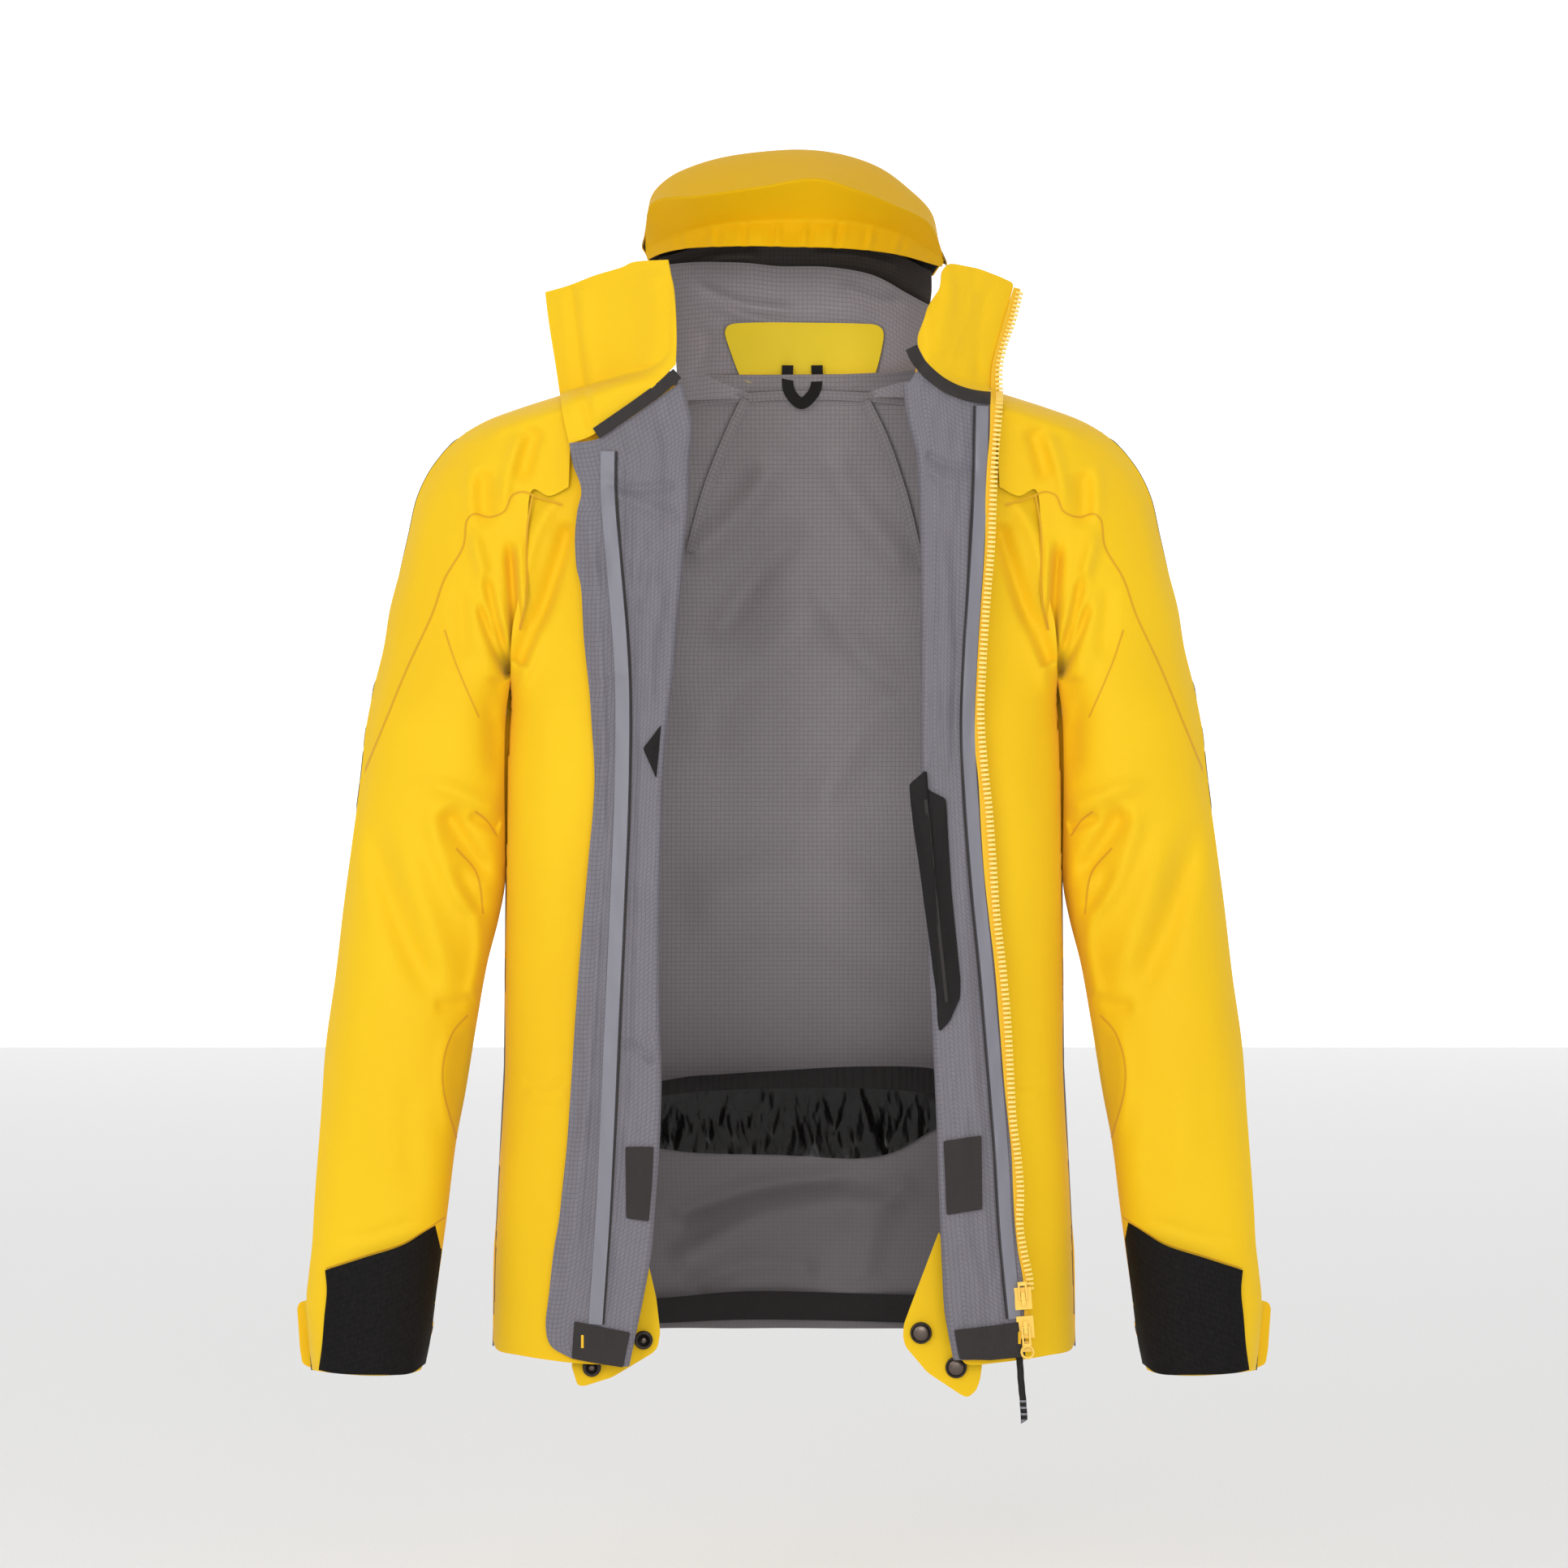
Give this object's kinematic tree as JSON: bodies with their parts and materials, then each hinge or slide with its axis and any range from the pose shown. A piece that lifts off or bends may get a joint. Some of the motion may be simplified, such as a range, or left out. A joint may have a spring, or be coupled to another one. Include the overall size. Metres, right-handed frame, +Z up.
{
  "type": "hardshell jacket",
  "caption": "Hooded hardshell jacket hanging open, with folded-back zip fronts, ripstop lining, snow skirt, stretch cuff panels, snap tabs and a two-way zip.",
  "frame": {"origin": "middle of the base of the neck opening, where the wearer's shoulders carry the jacket", "axes": "+Z up, +X to the wearer's left, -Y is the front of the jacket"},
  "size_m": [0.7592, 0.2599, 0.9854],
  "materials": {
    "shell_fabric": "matte coated woven laminate",
    "lining_fabric": "fine ripstop backer grid",
    "trim_fabric": "plain woven binding",
    "stretch_fabric": "stretch dobby weave",
    "gloss_fabric": "glossy thin nylon",
    "black_fabric": "matte nylon webbing and mesh",
    "zip_plastic": "moulded zip chain and sliders",
    "snap_metal": "dark bronze plated snap"
  },
  "bodies": {
    "torso": {"back_collar": "lining_fabric", "back_panel": "shell_fabric", "chest_panel_left": "shell_fabric", "chest_panel_right": "shell_fabric", "front_panel_left": "shell_fabric", "front_panel_right": "shell_fabric", "hanger_loop": "black_fabric", "hem_facing": "black_fabric", "neck_patch": "shell_fabric", "shoulder_yoke_left": "shell_fabric", "shoulder_yoke_right": "shell_fabric", "skirt_elastic": "black_fabric", "sleeve_head_left": "shell_fabric", "sleeve_head_lower_left": "shell_fabric", "sleeve_head_lower_right": "shell_fabric", "sleeve_head_right": "shell_fabric", "snow_skirt": "gloss_fabric", "upper_back": "shell_fabric"},
    "hood": {"hood_shell": "shell_fabric", "hood_brim": "shell_fabric", "hood_face_edge": "shell_fabric"},
    "sleeve_right": {"upper_sleeve_right": "shell_fabric"},
    "sleeve_left": {"upper_sleeve_left": "shell_fabric"},
    "forearm_right": {"forearm_sleeve_right": "shell_fabric", "cuff_panel_right": "stretch_fabric", "cuff_back_right": "shell_fabric"},
    "forearm_left": {"forearm_sleeve_left": "shell_fabric", "cuff_panel_left": "stretch_fabric", "cuff_back_left": "shell_fabric"},
    "cuff_tab_r": {"cuff_tab_right": "shell_fabric"},
    "cuff_tab_l": {"cuff_tab_left": "shell_fabric"},
    "lapel_right": {"front_edge_right": "lining_fabric", "collar_flap_right": "shell_fabric", "flap_binding_right": "trim_fabric", "hem_patch_right": "trim_fabric", "skirt_patch_right": "trim_fabric", "seam_tape_right": "lining_fabric", "zip_chain_right": "zip_plastic", "inner_pocket_right": "black_fabric"},
    "lapel_left": {"front_edge_left": "lining_fabric", "collar_flap_left": "shell_fabric", "flap_binding_left": "trim_fabric", "hem_patch_left": "trim_fabric", "skirt_patch_left": "trim_fabric", "seam_tape_left": "lining_fabric", "zip_chain_left": "zip_plastic", "zip_chain_collar_left": "zip_plastic", "zip_box": "zip_plastic", "inner_pocket_left": "black_fabric", "hem_cord": "black_fabric"},
    "slider_lo": {"slider_lower": "zip_plastic"},
    "slider_hi": {"slider_upper": "zip_plastic"},
    "pull_lo": {"pull_lower": "zip_plastic"},
    "pull_hi": {"pull_upper": "zip_plastic"},
    "tab_right": {"snap_tab_right": "shell_fabric", "snap_socket_1": "snap_metal", "snap_socket_2": "snap_metal"},
    "tab_left": {"snap_tab_left": "shell_fabric", "snap_cap_1": "snap_metal", "snap_cap_2": "snap_metal"}
  },
  "joints": [
    {"name": "hood_tip", "type": "hinge", "parent": "torso", "child": "hood", "pos_m": [0.008, 0.112, 0.108], "axis": [-1, 0, 0], "range_deg": [0, 50]},
    {"name": "shoulder_right", "type": "hinge", "parent": "torso", "child": "sleeve_right", "pos_m": [-0.2, 0, -0.115], "axis": [0, 1, 0], "range_deg": [0, 50]},
    {"name": "shoulder_left", "type": "hinge", "parent": "torso", "child": "sleeve_left", "pos_m": [0.2, 0, -0.115], "axis": [0, -1, 0], "range_deg": [0, 50]},
    {"name": "elbow_right", "type": "hinge", "parent": "sleeve_right", "child": "forearm_right", "pos_m": [-0.283, -0.066, -0.376], "axis": [-1, 0, 0], "range_deg": [0, 55]},
    {"name": "elbow_left", "type": "hinge", "parent": "sleeve_left", "child": "forearm_left", "pos_m": [0.283, -0.066, -0.376], "axis": [-1, 0, 0], "range_deg": [0, 55]},
    {"name": "lapel_right_fold", "type": "hinge", "parent": "torso", "child": "lapel_right", "pos_m": [-0.09246, -0.09575, -0.3], "axis": [0.0296, 0.0358, 0.9989], "range_deg": [0, 120]},
    {"name": "lapel_left_fold", "type": "hinge", "parent": "torso", "child": "lapel_left", "pos_m": [0.11682, -0.09575, -0.3], "axis": [0.0196, -0.0358, -0.9992], "range_deg": [0, 120]},
    {"name": "lower_slider_travel", "type": "slide", "parent": "lapel_left", "child": "slider_lo", "axis": [-0.081, 0.0112, 0.9966], "range_m": [0, 0.12]},
    {"name": "upper_slider_travel", "type": "slide", "parent": "slider_lo", "child": "slider_hi", "axis": [-0.081, 0.0112, 0.9966], "range_m": [0, 0.12]},
    {"name": "lower_pull_swing", "type": "hinge", "parent": "slider_lo", "child": "pull_lo", "pos_m": [0.18494, -0.10745, -0.72383], "axis": [-0.9967, -0.0005, -0.081], "range_deg": [0, 80]},
    {"name": "upper_pull_swing", "type": "hinge", "parent": "slider_hi", "child": "pull_hi", "pos_m": [0.18316, -0.1072, -0.7019], "axis": [0.9967, 0.0005, 0.081], "range_deg": [0, 80]},
    {"name": "snap_tab_right_swing", "type": "hinge", "parent": "torso", "child": "tab_right", "pos_m": [-0.12, -0.084, -0.662], "axis": [-1, 0, 0], "range_deg": [-35, 0]},
    {"name": "snap_tab_left_swing", "type": "hinge", "parent": "torso", "child": "tab_left", "pos_m": [0.122, -0.084, -0.655], "axis": [-1, 0, 0], "range_deg": [-35, 0]},
    {"name": "cuff_tab_right_peel", "type": "hinge", "parent": "forearm_right", "child": "cuff_tab_r", "pos_m": [-0.34568, 0.02031, -0.7411], "axis": [0, 0, -1], "range_deg": [0, 70]},
    {"name": "cuff_tab_left_peel", "type": "hinge", "parent": "forearm_left", "child": "cuff_tab_l", "pos_m": [0.34477, 0.01831, -0.7409], "axis": [0, 0, 1], "range_deg": [0, 70]}
  ]
}
